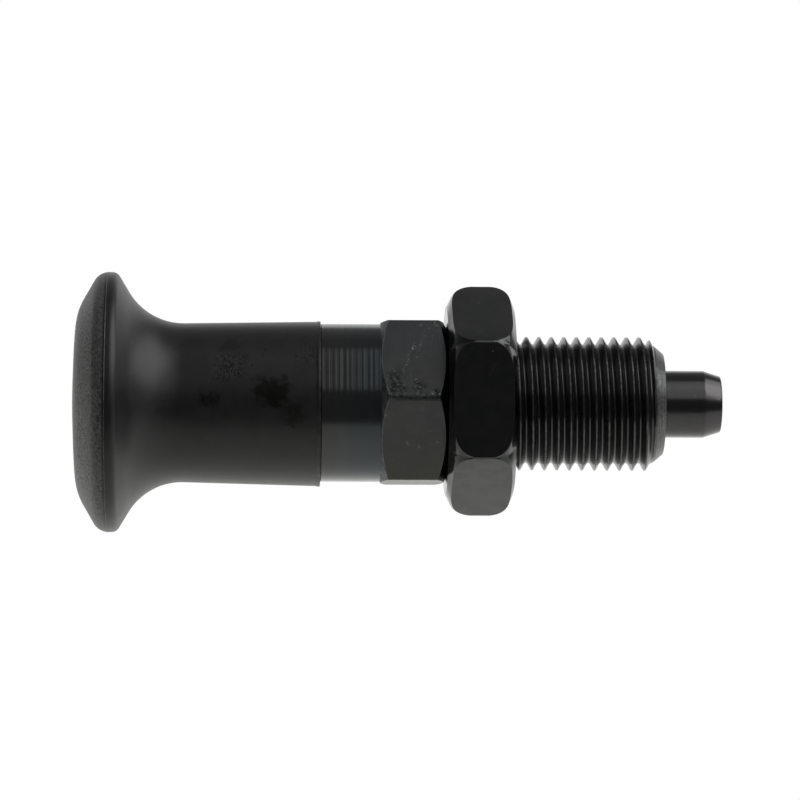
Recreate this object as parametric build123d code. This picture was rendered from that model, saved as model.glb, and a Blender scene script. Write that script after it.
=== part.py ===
from build123d import *
import os
from math import cos, pi, radians, sin, tan

# Indexing plunger: a sprung locating pin in a threaded sleeve, drawn back by a mushroom knob.
# Millimetres. The common axis is X, the pin points along +X, and x = 0 is the collar's front face.

# Threaded sleeve
thread_diameter = 16.0
thread_length = 26.0
thread_end_chamfer = 1.37
nose_length = 0.72
nose_step = 0.58
undercut_width = 3.0
undercut_wall = 0.85
collar_across_flats = 19.0
collar_length = 7.85
collar_corner_cut = 0.05
collar_chamfer_angle = 30.0
collar_turn = -4.0
neck_diameter = 18.86
neck_length = 7.25
spigot_length = 14.0
spigot_wall = 1.75
guide_length = 14.0

# Locknut
nut_across_flats = 24.0
nut_thickness = 8.0
nut_face_diameter = 22.9
nut_corner_cut = 0.18
nut_chamfer_angle = 30.0
nut_mouth = 0.55
nut_turn = 29.0
nut_gap = 0.15

# Indexing pin
pin_diameter = 8.0
pin_projection = 7.0
pin_taper_length = 2.15
pin_taper_angle = 17.3
stop_width = 2.0
stroke = 7.5
stem_diameter = 6.0

# Spring, and the bush that closes the chamber behind it
wire_diameter = 1.0
coil_pitch = 4.3
coil_runs = 12
bush_length = 9.0
bush_flange_inset = 0.45
bush_flange_thickness = 1.0

# Knob
knob_diameter = 31.14
knob_length = 29.2
crown_wall = 5.1
crown_bevel_angle = 29.0
crown_bevel_depth = 3.1
crown_break = 1.5
rim_width = 2.2
rim_rear_break = 1.0
rim_front_break = 0.65
flank_angle = 30.4
flank_blend = 5.0
skirt_wall = 1.88
skirt_draft = 1.04

# Clearances per side, and gaps along the axis
running_fit = 0.02
thread_fit = 0.05
stop_fit = 0.25
coil_inner_gap = 0.6
coil_outer_gap = 0.4
skirt_fit = 0.2
skirt_gap = 0.15
hub_gap = 0.5

# Diameters that follow from what runs inside them
coil_diameter = pin_diameter + 2 * coil_inner_gap + wire_diameter
chamber_diameter = coil_diameter + wire_diameter + 2 * coil_outer_gap
stop_diameter = chamber_diameter - 2 * stop_fit
spigot_diameter = chamber_diameter + 2 * spigot_wall
bush_flange_diameter = spigot_diameter - 2 * bush_flange_inset
skirt_bore_diameter = spigot_diameter + 2 * skirt_fit
skirt_diameter = skirt_bore_diameter + 2 * skirt_wall

# Stations along the axis
collar_rear = -collar_length
neck_rear = collar_rear - neck_length
spigot_rear = neck_rear - spigot_length
chamber_front = thread_length - guide_length
stop_rear = chamber_front - stop_width
bush_front = spigot_rear + bush_length
flange_rear = spigot_rear - bush_flange_thickness
pin_step = bush_front + stroke
pin_tip = thread_length + pin_projection
skirt_front = neck_rear - skirt_gap
knob_rear = skirt_front - knob_length
hub_front = flange_rear - hub_gap
stem_rear = knob_rear + crown_wall


def turned(*points):
    """Solid of revolution about X from an outline of (x, radius) points, closed along the axis."""
    outline = [(points[0][0], 0), *points, (points[-1][0], 0)]
    return revolve(make_face(Polyline(*outline, close=True)), Axis.X)


def hexagon_bar(across_flats, corner_cut, turn, start, length, face_diameter, chamfer_angle):
    """Hexagon along X with blunted corners, each end turned down to a round face."""
    section = RegularPolygon(across_flats / 2, 6, major_radius=False)
    bar = extrude(Plane.YZ.offset(start) * Rot(0, 0, turn) * section, length)
    corner_radius = across_flats / 2 / cos(pi / 6) - corner_cut
    face_radius = face_diameter / 2
    chamfer_length = (corner_radius - face_radius) * tan(radians(chamfer_angle))
    end = start + length
    return bar & turned(
        (start, face_radius),
        (start + chamfer_length, corner_radius),
        (end - chamfer_length, corner_radius),
        (end, face_radius),
    )


def make_plunger_body():
    """Sleeve turned from hexagon bar: thread, wrench collar, neck, and the spigot the knob slides on."""
    thread_radius = thread_diameter / 2
    nose_radius = thread_radius - thread_end_chamfer
    nose_rear = thread_length - nose_length
    undercut_radius = chamber_diameter / 2 + undercut_wall
    body = turned(
        (spigot_rear, spigot_diameter / 2),
        (neck_rear, spigot_diameter / 2),
        (neck_rear, neck_diameter / 2),
        (collar_rear, neck_diameter / 2),
        (collar_rear, undercut_radius),
        (undercut_width + undercut_radius - thread_radius, undercut_radius),
        (undercut_width, thread_radius),
        (nose_rear - thread_end_chamfer, thread_radius),
        (nose_rear, nose_radius),
        (thread_length, nose_radius - nose_step),
    )
    body += hexagon_bar(
        collar_across_flats,
        collar_corner_cut,
        collar_turn,
        collar_rear,
        collar_length,
        neck_diameter,
        collar_chamfer_angle,
    )
    guide_radius = pin_diameter / 2 + running_fit
    body -= turned((spigot_rear, chamber_diameter / 2), (chamber_front, chamber_diameter / 2))
    return body - turned((chamber_front, guide_radius), (thread_length, guide_radius))


def make_locknut():
    """Hexagon nut, chamfered on both faces, with a countersunk mouth at each end of its bore."""
    front = nut_gap + nut_thickness
    bore_radius = thread_diameter / 2 + thread_fit
    nut = hexagon_bar(
        nut_across_flats,
        nut_corner_cut,
        nut_turn,
        nut_gap,
        nut_thickness,
        nut_face_diameter,
        nut_chamfer_angle,
    )
    return nut - turned(
        (nut_gap, bore_radius + nut_mouth),
        (nut_gap + nut_mouth, bore_radius),
        (front - nut_mouth, bore_radius),
        (front, bore_radius + nut_mouth),
    )


def make_indexing_pin():
    """Pin in one piece: tapered nose, ground shank, stop collar, back stop, and the knob's stem."""
    radius = pin_diameter / 2
    stem_radius = stem_diameter / 2
    stop_radius = stop_diameter / 2
    return turned(
        (stem_rear, stem_radius),
        (pin_step, stem_radius),
        (pin_step, radius),
        (stop_rear, radius),
        (stop_rear, stop_radius),
        (chamber_front, stop_radius),
        (chamber_front, radius),
        (pin_tip - pin_taper_length, radius),
        (pin_tip, radius - pin_taper_length * tan(radians(pin_taper_angle))),
    )


def make_spring():
    """Compression spring at its fitted length, ground flat against the stop collar and the bush.

    The coil is shut away in the sleeve, so it is drawn in straight runs with a six-sided wire.
    """
    fitted_length = stop_rear - bush_front
    coils = fitted_length / coil_pitch + 2
    points = []
    for run in range(round(coils * coil_runs) + 1):
        turn = run / coil_runs
        x = bush_front + coil_pitch * (turn - 1)
        y = coil_diameter / 2 * cos(2 * pi * turn)
        z = coil_diameter / 2 * sin(2 * pi * turn)
        points.append((x, y, z))
    path = Polyline(*points)
    wire = Plane(origin=path @ 0, z_dir=path % 0) * RegularPolygon(wire_diameter / 2, 6)
    coil = sweep(wire, path, transition=Transition.RIGHT)
    slab = Box(fitted_length, 2 * chamber_diameter, 2 * chamber_diameter)
    return coil & Pos((bush_front + stop_rear) / 2, 0, 0) * slab


def make_rear_bush():
    """Flanged bush pressed into the back of the chamber; it guides the stem and backs the spring."""
    stem_hole_radius = stem_diameter / 2 + running_fit
    bush = turned(
        (flange_rear, bush_flange_diameter / 2),
        (spigot_rear, bush_flange_diameter / 2),
        (spigot_rear, chamber_diameter / 2),
        (bush_front, chamber_diameter / 2),
    )
    return bush - turned((flange_rear, stem_hole_radius), (bush_front, stem_hole_radius))


def make_knob(pin):
    """Mushroom grip moulded onto the pin's stem, hollow where its skirt slides over the spigot."""
    rim_radius = knob_diameter / 2
    skirt_radius = skirt_diameter / 2
    flank_slope = tan(radians(flank_angle))
    draft_slope = tan(radians(skirt_draft))
    rim_rear = knob_rear + crown_bevel_depth
    rim_front = rim_rear + rim_width
    crown_radius = rim_radius - crown_bevel_depth / tan(radians(crown_bevel_angle))

    # The flank's cone falls from the rim until it meets the skirt, which narrows back from its mouth.
    flank_reach = skirt_front - rim_front - rim_radius * flank_slope
    waist_radius = (skirt_radius - flank_reach * draft_slope) / (1 + flank_slope * draft_slope)
    waist_x = rim_front + (rim_radius - waist_radius) * flank_slope

    section = make_face(
        Polyline(
            (knob_rear, 0),
            (knob_rear, crown_radius),
            (rim_rear, rim_radius),
            (rim_front, rim_radius),
            (waist_x, waist_radius),
            (skirt_front, skirt_radius),
            (skirt_front, 0),
            close=True,
        )
    )
    breaks = [
        (knob_rear, crown_radius, crown_break),
        (rim_rear, rim_radius, rim_rear_break),
        (rim_front, rim_radius, rim_front_break),
    ]
    for x, radius, width in breaks:
        corner = section.vertices().sort_by_distance((x, radius, 0))[0]
        section = chamfer(corner, width)
    waist = section.vertices().sort_by_distance((waist_x, waist_radius, 0))[0]
    section = fillet(waist, flank_blend)
    bore_radius = skirt_bore_diameter / 2
    knob = revolve(section, Axis.X) - turned((hub_front, bore_radius), (skirt_front, bore_radius))
    return knob - pin


def print_sizes():
    """Print the sizes that decide whether the plunger works."""
    fitted = stop_rear - bush_front
    coils = fitted / coil_pitch
    print(f"overall length {pin_tip - knob_rear:.2f}, projection {pin_projection}, stroke {stroke}")
    print(f"spring: {coils:.1f} coils, {fitted:.2f} long at rest, {fitted - stroke:.2f} when pulled")
    print(f"skirt left over the spigot when pulled: {spigot_length - skirt_gap - stroke:.2f}")


indexing_pin = make_indexing_pin()
nodes = {
    "plunger_body": make_plunger_body(),
    "locknut": make_locknut(),
    "indexing_pin": indexing_pin,
    "spring": make_spring(),
    "rear_bush": make_rear_bush(),
    "knob": make_knob(indexing_pin),
}

os.makedirs("parts", exist_ok=True)
for name, solid in nodes.items():
    export_step(solid, f"parts/{name}.step")
print_sizes()
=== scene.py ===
from math import ceil, cos, floor, pi, radians, sin, sqrt, tan

import bmesh
import bpy
import numpy as np
from mathutils import Euler, Matrix, Vector, noise


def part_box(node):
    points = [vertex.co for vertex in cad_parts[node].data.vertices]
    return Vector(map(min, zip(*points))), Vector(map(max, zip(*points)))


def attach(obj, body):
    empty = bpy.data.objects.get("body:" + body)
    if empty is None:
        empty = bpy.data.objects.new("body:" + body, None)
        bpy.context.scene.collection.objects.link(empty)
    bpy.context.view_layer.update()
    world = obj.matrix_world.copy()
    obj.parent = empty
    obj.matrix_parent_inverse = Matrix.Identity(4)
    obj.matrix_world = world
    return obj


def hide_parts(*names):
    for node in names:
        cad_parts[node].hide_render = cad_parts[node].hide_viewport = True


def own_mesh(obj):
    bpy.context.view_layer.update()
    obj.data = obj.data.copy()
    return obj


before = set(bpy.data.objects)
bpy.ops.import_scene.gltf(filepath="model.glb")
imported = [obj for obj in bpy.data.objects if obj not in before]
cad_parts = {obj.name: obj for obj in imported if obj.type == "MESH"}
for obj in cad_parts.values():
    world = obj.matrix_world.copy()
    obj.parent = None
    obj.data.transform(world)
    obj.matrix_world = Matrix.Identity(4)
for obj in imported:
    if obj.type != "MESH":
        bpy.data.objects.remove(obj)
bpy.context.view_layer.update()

mm = 0.001  # sizes below are in millimetres, meshes are in metres
sharpAngle = 32  # degrees between faces, past which an edge stays crisp

ring = {
    "points": 180,  # round the hexagon pieces and the knob
    "roundPoints": 144,  # round the pin and the bush
    "crowding": 0.85,  # how far the points gather at a hexagon's corners
}

# the right-hand thread that the sleeve and the nut share
thread = {
    "radius": 8.0,
    "pitch": 1.5,
    "depth": 0.9,
    "flankAngle": 30.0,
    "crestFlat": 0.17,
    "rootBlend": 0.28,
    "crestAt": 0.28,  # x of a crest at angle 0
    "profileSteps": 16,
    "mergeWithin": 0.002,
    "nutClearance": 0.07,
}


def boxEnds(node):
    low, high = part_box(node)
    return low.x / mm, high.x / mm


knobRear, knobFront = boxEnds("knob")
sleeveRear, sleeveFront = boxEnds("plunger_body")
nutRear, nutFront = boxEnds("locknut")
pinRear, pinTip = boxEnds("indexing_pin")
springRear, springFront = boxEnds("spring")
bushRear, bushFront = boxEnds("rear_bush")
print("frame read, sleeve from", round(sleeveRear, 2), "to", round(sleeveFront, 2))


# node helpers: an input is a number, a colour or another node's socket


def addNode(tree, kind, inputs=None, **settings):
    node = tree.nodes.new(kind)
    for key, value in settings.items():
        setattr(node, key, value)
    for key, value in (inputs or {}).items():
        if isinstance(value, bpy.types.NodeSocket):
            tree.links.new(value, node.inputs[key])
        else:
            node.inputs[key].default_value = value
    return node


def calc(tree, operation, first, second=0.0, third=0.0):
    node = addNode(tree, "ShaderNodeMath", {0: first, 1: second, 2: third}, operation=operation)
    return node.outputs[0]


def times(tree, first, second):
    return calc(tree, "MULTIPLY", first, second)


def clamped(tree, value, low, high):
    return calc(tree, "MINIMUM", calc(tree, "MAXIMUM", value, low), high)


def vectorCalc(tree, operation, inputs, output=0):
    return addNode(tree, "ShaderNodeVectorMath", inputs, operation=operation).outputs[output]


def moved(tree, geometry, x, y, z):
    # the same geometry with every point put at x, y, z
    place = addNode(tree, "ShaderNodeCombineXYZ", {"X": x, "Y": y, "Z": z}).outputs[0]
    sent = addNode(tree, "GeometryNodeSetPosition", {"Geometry": geometry, "Position": place})
    return sent.outputs[0]


def newGroup(name, sockets):
    tree = bpy.data.node_groups.new(name, "GeometryNodeTree")
    tree.interface.new_socket(name="Geometry", in_out="OUTPUT", socket_type="NodeSocketGeometry")
    tree.interface.new_socket(name="Geometry", in_out="INPUT", socket_type="NodeSocketGeometry")
    for socketName, kind in sockets.items():
        tree.interface.new_socket(name=socketName, in_out="INPUT", socket_type="NodeSocket" + kind)
    source = tree.nodes.new("NodeGroupInput")
    return tree, {socket.name: socket for socket in source.outputs if socket.name}


def closeGroup(tree, geometry, material):
    realized = addNode(tree, "GeometryNodeRealizeInstances", {"Geometry": geometry})
    painted = addNode(
        tree, "GeometryNodeSetMaterial", {"Geometry": realized.outputs[0], "Material": material}
    )
    output = tree.nodes.new("NodeGroupOutput")
    tree.links.new(painted.outputs[0], output.inputs[0])
    return tree


def runGroup(piece, tree, values):
    modifier = piece.modifiers.new(tree.name, "NODES")
    modifier.node_group = tree
    for item in tree.interface.items_tree:
        if item.in_out == "INPUT" and item.name in values:
            modifier[item.identifier] = values[item.name]
    depsgraph = bpy.context.evaluated_depsgraph_get()
    plain = bpy.data.meshes.new_from_object(piece.evaluated_get(depsgraph))
    piece.modifiers.clear()
    piece.data = plain
    return piece


# mesh helpers: an outline is a list of (x, radius, blend) corners turned about X


def ringAngles(turn, points, crowding=0.0):
    share = np.arange(points) / points
    return radians(turn) + 2 * pi * share - crowding / 6 * np.sin(12 * pi * share)


def hexagonRadius(angles, turn, acrossFlats, cornerBlend):
    flat = acrossFlats / 2
    aside = np.abs(np.mod(angles - radians(turn), pi / 3) - pi / 6)  # angle from the flat's middle
    straight = flat / np.cos(aside)
    # near a corner the outline follows an arc whose centre lies on the corner's spoke
    centre = (flat - cornerBlend) / cos(pi / 6)
    fromCorner = pi / 6 - aside
    arc = centre * np.cos(fromCorner) + np.sqrt(
        np.maximum(cornerBlend**2 - (centre * np.sin(fromCorner)) ** 2, 0)
    )
    tangent = np.arctan2(centre * 0.5, flat)
    return np.where(aside > tangent, arc, straight)


def roundedRings(corners, points, step=9.0):
    count = len(corners)
    xs = np.array([np.broadcast_to(corner[0], points) for corner in corners], float)
    radii = np.array([np.broadcast_to(corner[1], points) for corner in corners], float)
    places = np.stack([xs, radii], axis=2)
    rings = []
    for i, corner in enumerate(corners):
        if len(corner) < 3:
            rings.append(places[i])
            continue
        here = places[i]
        back = places[(i - 1) % count] - here
        ahead = places[(i + 1) % count] - here
        back /= np.linalg.norm(back, axis=1)[:, None]
        ahead /= np.linalg.norm(ahead, axis=1)[:, None]
        between = np.arccos(np.clip((back * ahead).sum(1), -1, 1))
        turned = pi - between
        middle = back + ahead
        middle /= np.linalg.norm(middle, axis=1)[:, None]
        blend = np.broadcast_to(corner[2], points)
        centre = here + middle * (blend / np.sin(between / 2))[:, None]
        reach = (blend / np.tan(between / 2))[:, None]
        fromCentre = here + back * reach - centre
        toCentre = here + ahead * reach - centre
        steps = max(2, ceil(np.degrees(turned.max()) / step))
        for k in range(steps + 1):
            share = k / steps
            early = (np.sin((1 - share) * turned) / np.sin(turned))[:, None]
            late = (np.sin(share * turned) / np.sin(turned))[:, None]
            rings.append(centre + fromCentre * early + toCentre * late)
    return rings


def turnedPiece(name, rings, angles, closed=False):
    count = len(angles)
    around = np.stack([np.cos(angles), np.sin(angles)], axis=1)
    points = [np.column_stack([line[:, 0], line[:, 1:] * around]) for line in rings]
    faces = []
    for i in range(len(rings) if closed else len(rings) - 1):
        here, there = i * count, (i + 1) % len(rings) * count
        for k in range(count):
            n = (k + 1) % count
            faces.append((here + k, here + n, there + n, there + k))
    mesh = bpy.data.meshes.new(name)
    mesh.from_pydata((np.concatenate(points) * mm).tolist(), [], faces)
    piece = bpy.data.objects.new(name, mesh)
    bpy.context.scene.collection.objects.link(piece)
    return piece


def finishMesh(piece):
    work = bmesh.new()
    work.from_mesh(piece.data)
    bmesh.ops.remove_doubles(work, verts=work.verts, dist=1e-6)
    bmesh.ops.dissolve_degenerate(work, edges=work.edges, dist=1e-7)
    bmesh.ops.recalc_face_normals(work, faces=work.faces)
    loose = [edge for edge in work.edges if not edge.link_faces]
    bmesh.ops.delete(work, geom=loose, context="EDGES")
    openEdges = sum(1 for edge in work.edges if len(edge.link_faces) != 2)
    work.to_mesh(piece.data)
    work.free()
    piece.data.shade_smooth()
    piece.data.set_sharp_from_angle(angle=radians(sharpAngle))
    triangles = sum(len(face.vertices) - 2 for face in piece.data.polygons)
    print(f"{piece.name}: {triangles} triangles, {openEdges} open edges")
    return piece


def readPoints(piece):
    flat = np.zeros(len(piece.data.vertices) * 3)
    piece.data.vertices.foreach_get("co", flat)
    return flat.reshape(-1, 3) / mm


def writePoints(piece, points):
    piece.data.vertices.foreach_set("co", (points * mm).ravel())
    piece.data.update()


def seat(piece, body, node):
    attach(piece, body)
    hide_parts(node)


# material helpers, in object millimetres


def newFinish(name, color, roughness, metallic=1.0):
    material = bpy.data.materials.new(name)
    material.use_nodes = True
    tree = material.node_tree
    shader = tree.nodes["Principled BSDF"]
    shader.inputs["Base Color"].default_value = (*color, 1)
    shader.inputs["Roughness"].default_value = roughness
    shader.inputs["Metallic"].default_value = metallic
    return material, tree, shader


def spotOf(tree):
    place = tree.nodes.new("ShaderNodeTexCoord").outputs["Object"]
    return vectorCalc(tree, "SCALE", {0: place, "Scale": 1 / mm})


def partsOf(tree, spot):
    return addNode(tree, "ShaderNodeSeparateXYZ", {0: spot}).outputs[:3]


def grain(tree, spot, scale, detail=2.0, roughness=0.5, stretch=None):
    if stretch:
        spot = vectorCalc(tree, "MULTIPLY", {0: spot, 1: stretch})
    return addNode(
        tree,
        "ShaderNodeTexNoise",
        {"Vector": spot, "Scale": scale, "Detail": detail, "Roughness": roughness},
    ).outputs["Fac"]


def ease(tree, value, low, high, toLow=0.0, toHigh=1.0):
    return addNode(
        tree,
        "ShaderNodeMapRange",
        {"Value": value, 1: low, 2: high, 3: toLow, 4: toHigh},
        interpolation_type="SMOOTHSTEP",
    ).outputs[0]


def window(tree, value, low, high, soft):
    rise = ease(tree, value, low - soft, low + soft)
    fall = ease(tree, value, high - soft, high + soft, 1.0, 0.0)
    return times(tree, rise, fall)


def tint(tree, share, first, second):
    def full(color):
        return color if isinstance(color, bpy.types.NodeSocket) else (*color, 1)

    return addNode(
        tree, "ShaderNodeMix", {0: share, 6: full(first), 7: full(second)}, data_type="RGBA"
    ).outputs[2]


def mixed(tree, share, first, second):
    return addNode(tree, "ShaderNodeMix", {0: share, 2: first, 3: second}).outputs[0]


def shaken(tree, spot, scale, amount):
    # the same place, shifted about by noise, so that marks drawn there get ragged outlines
    wobble = addNode(tree, "ShaderNodeTexNoise", {"Vector": spot, "Scale": scale, "Detail": 3.0})
    shift = vectorCalc(tree, "SUBTRACT", {0: wobble.outputs["Color"], 1: (0.5, 0.5, 0.5)})
    return vectorCalc(tree, "MULTIPLY_ADD", {0: shift, 1: (2 * amount,) * 3, 2: spot})


def nearSpot(tree, spot, centre, radius, soft=0.5):
    gap = vectorCalc(tree, "DISTANCE", {0: spot, 1: centre}, "Value")
    return ease(tree, gap, radius * (1 - soft), radius * (1 + soft), 1.0, 0.0)


def nearLine(tree, spot, start, end, width):
    way = Vector(end) - Vector(start)
    heading = tuple(way.normalized())
    fromStart = vectorCalc(tree, "SUBTRACT", {0: spot, 1: start})
    along = vectorCalc(tree, "DOT_PRODUCT", {0: fromStart, 1: heading}, "Value")
    along = clamped(tree, along, 0.0, way.length)
    foot = vectorCalc(tree, "SCALE", {0: heading, "Scale": along})
    gap = vectorCalc(tree, "DISTANCE", {0: fromStart, 1: foot}, "Value")
    return ease(tree, gap, width * 0.3, width, 1.0, 0.0)


def relief(tree, shader, height):
    bump = addNode(tree, "ShaderNodeBump", {"Height": height, "Distance": mm, "Strength": 1.0})
    tree.links.new(bump.outputs[0], shader.inputs["Normal"])


# thread: a strip one pitch wide, wound along the axis and held between two shoulders


def threadTree():
    tree, given = newGroup(
        "ThreadWall",
        {
            "Crest Radius": "Float",
            "Pitch": "Float",
            "Depth": "Float",
            "Flank Slope": "Float",
            "Crest Flat": "Float",
            "Root Blend": "Float",
            "Crest At": "Float",
            "Side": "Float",
            "Start": "Float",
            "Start Radius": "Float",
            "End": "Float",
            "End Radius": "Float",
            "End Slope": "Float",
            "First Turn": "Float",
            "Turns": "Int",
            "Ring Points": "Int",
            "Ring Turn": "Float",
            "Crowding": "Float",
            "Profile Steps": "Int",
            "Material": "Material",
        },
    )
    along = calc(tree, "ADD", times(tree, given["Turns"], given["Ring Points"]), 1.0)
    across = calc(tree, "ADD", given["Profile Steps"], 1.0)
    grid = addNode(
        tree,
        "GeometryNodeMeshGrid",
        {"Size X": given["Turns"], "Size Y": 1.0, "Vertices X": along, "Vertices Y": across},
    )
    position = tree.nodes.new("GeometryNodeInputPosition").outputs[0]
    place = addNode(tree, "ShaderNodeSeparateXYZ", {0: position})
    turns = calc(tree, "MULTIPLY_ADD", given["Turns"], 0.5, place.outputs["X"])
    crowd = times(tree, calc(tree, "SINE", times(tree, turns, 12 * pi)), given["Crowding"])
    swept = calc(tree, "MULTIPLY_ADD", turns, 2 * pi, times(tree, crowd, -1 / 6))
    angle = calc(tree, "ADD", swept, given["Ring Turn"])
    # a crest lies at crestAt + pitch * angle / 2 pi
    pitches = calc(tree, "MULTIPLY_ADD", angle, 1 / (2 * pi), given["First Turn"])
    pitches = calc(tree, "ADD", pitches, place.outputs["Y"])
    free = calc(tree, "MULTIPLY_ADD", pitches, given["Pitch"], given["Crest At"])
    x = clamped(tree, free, given["Start"], given["End"])
    aside = times(tree, calc(tree, "ABSOLUTE", place.outputs["Y"]), given["Pitch"])
    down = calc(tree, "MULTIPLY_ADD", given["Crest Flat"], -0.5, aside)
    down = times(tree, down, given["Flank Slope"])
    down = calc(tree, "SMOOTH_MIN", down, given["Depth"], given["Root Blend"])
    down = calc(tree, "MAXIMUM", down, 0.0)
    # the wall is the least of the thread and the two shoulders, seen from the side that is cut
    wall = times(tree, calc(tree, "SUBTRACT", given["Crest Radius"], down), given["Side"])
    entered = calc(tree, "SUBTRACT", x, given["Start"])
    entry = calc(tree, "MULTIPLY_ADD", given["Start Radius"], given["Side"], entered)
    beyond = times(tree, calc(tree, "SUBTRACT", given["End"], x), given["End Slope"])
    leave = calc(tree, "MULTIPLY_ADD", given["End Radius"], given["Side"], beyond)
    nearest = calc(tree, "MINIMUM", calc(tree, "MINIMUM", wall, entry), leave)
    radius = times(tree, nearest, given["Side"])
    y = times(tree, radius, calc(tree, "COSINE", angle))
    z = times(tree, radius, calc(tree, "SINE", angle))
    wound = moved(tree, grid.outputs[0], x, y, z)
    joined = tree.nodes.new("GeometryNodeJoinGeometry")
    tree.links.new(given["Geometry"], joined.inputs[0])
    tree.links.new(wound, joined.inputs[0])
    merge = {"Geometry": joined.outputs[0], "Distance": thread["mergeWithin"] * mm}
    merged = addNode(tree, "GeometryNodeMergeByDistance", merge)
    return closeGroup(tree, merged.outputs[0], given["Material"])


def cutThread(piece, tree, turn, side, start, startRadius, end, endRadius, endSlope, material):
    pitch = thread["pitch"]
    extra = thread["nutClearance"] if side < 0 else 0.0
    first = floor((start - thread["crestAt"]) / pitch - turn / 360) - 1
    return runGroup(
        piece,
        tree,
        {
            "Crest Radius": (thread["radius"] + extra) * mm,
            "Pitch": pitch * mm,
            "Depth": thread["depth"] * mm,
            "Flank Slope": 1 / tan(radians(thread["flankAngle"])),
            "Crest Flat": thread["crestFlat"] * mm,
            "Root Blend": thread["rootBlend"] * mm,
            "Crest At": thread["crestAt"] * mm,
            "Side": float(side),
            "Start": start * mm,
            "Start Radius": startRadius * mm,
            "End": end * mm,
            "End Radius": endRadius * mm,
            "End Slope": endSlope,
            "First Turn": float(first),
            "Turns": ceil((end - start) / pitch) + 3,
            "Ring Points": ring["points"],
            "Ring Turn": radians(turn),
            "Crowding": ring["crowding"],
            "Profile Steps": thread["profileSteps"],
            "Material": material,
        },
    )


# sleeve: spigot, ringed neck, wrench collar, thread and nose in one piece

sleeve = {
    "turn": -4.07,  # degrees, a collar corner's angle about +X from +Y
    "boreRadius": 6.0,
    "guideRadius": 4.02,
    "guideLength": 14.0,
    "guideMouth": 0.25,
    "spigotRadius": 7.75,
    "spigotLength": 14.2,
    "neckRadius": 9.43,
    "neckLength": 7.05,
    "ringPitch": 0.66,
    "ringDepth": 0.0105,
    "ringUneven": 0.45,
    "ringSteps": 6,
    "collarAcrossFlats": 19.0,
    "collarCornerBlend": 0.3,
    "collarChamfer": 30.0,
    "collarFrontRadius": 9.12,
    "collarSlices": 36,
    "undercutRadius": 6.85,
    "undercutWidth": 3.0,
    "threadEndSlope": 1.9,
    "noseLength": 1.22,
    "noseRadius": 7.0,
    "noseLand": 0.12,
    "noseFrontRadius": 6.05,
    "edge": 0.08,
    "neckTones": [  # where along the neck, and the oxide's tone there
        (0.08, (0.045, 0.047, 0.045)),
        (0.3, (0.042, 0.049, 0.047)),
        (0.5, (0.044, 0.046, 0.048)),
        (0.65, (0.039, 0.046, 0.0465)),
        (0.95, (0.038, 0.045, 0.0475)),
    ],
    "spigotTone": (0.041, 0.043, 0.042),
    "collarTones": ((0.037, 0.039, 0.039), (0.045, 0.045, 0.044)),
    "drawnTone": (0.033, 0.034, 0.033),
    # painted reflection tints, cool on the collar's upper flats and warm on its lower flats
    "topReflectionTint": (0.038, 0.042, 0.047),
    "bottomReflectionTint": (0.043, 0.044, 0.036),
    # painted shade: a dark strip along the collar's near corner
    "paintedShadeStripTone": (0.012, 0.012, 0.015),
    "paintedShadeStripX": (-6.3, -0.9),
    "paintedShadeStripZ": (0.3, 0.7),
    # thread: roots painted paler than the flanks as a painted highlight; crests partly worn, partly
    # a painted highlight
    "rootHighlightTone": (0.042, 0.043, 0.043),
    "flankTone": (0.031, 0.031, 0.031),
    "crestWearAndHighlightTone": (0.07, 0.07, 0.068),
    # the nose: paler turned steel, streaked with painted glints
    "noseSteelAndGlintTones": ((0.03, 0.033, 0.033), (0.115, 0.115, 0.115)),
    # painted highlight on the chamfer behind the collar
    "rearChamferHighlightTones": ((0.08, 0.085, 0.09), (0.14, 0.147, 0.155)),
    "pitTone": (0.007, 0.012, 0.009),
    "chipTone": (0.2, 0.21, 0.185),
}
neckRear = sleeveRear + sleeve["spigotLength"]
collarRear = neckRear + sleeve["neckLength"]
noseRear = sleeveFront - sleeve["noseLength"]
collarFlat = sleeve["collarAcrossFlats"] / 2


def onFlat(x, z):
    # a point on one of the two flats that meet at the near corner
    corner = radians(sleeve["turn"] + 180)
    above = z > collarFlat / cos(pi / 6) * sin(corner)
    normal = corner - pi / 6 if above else corner + pi / 6
    return x, (collarFlat - z * sin(normal)) / cos(normal), z


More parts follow.
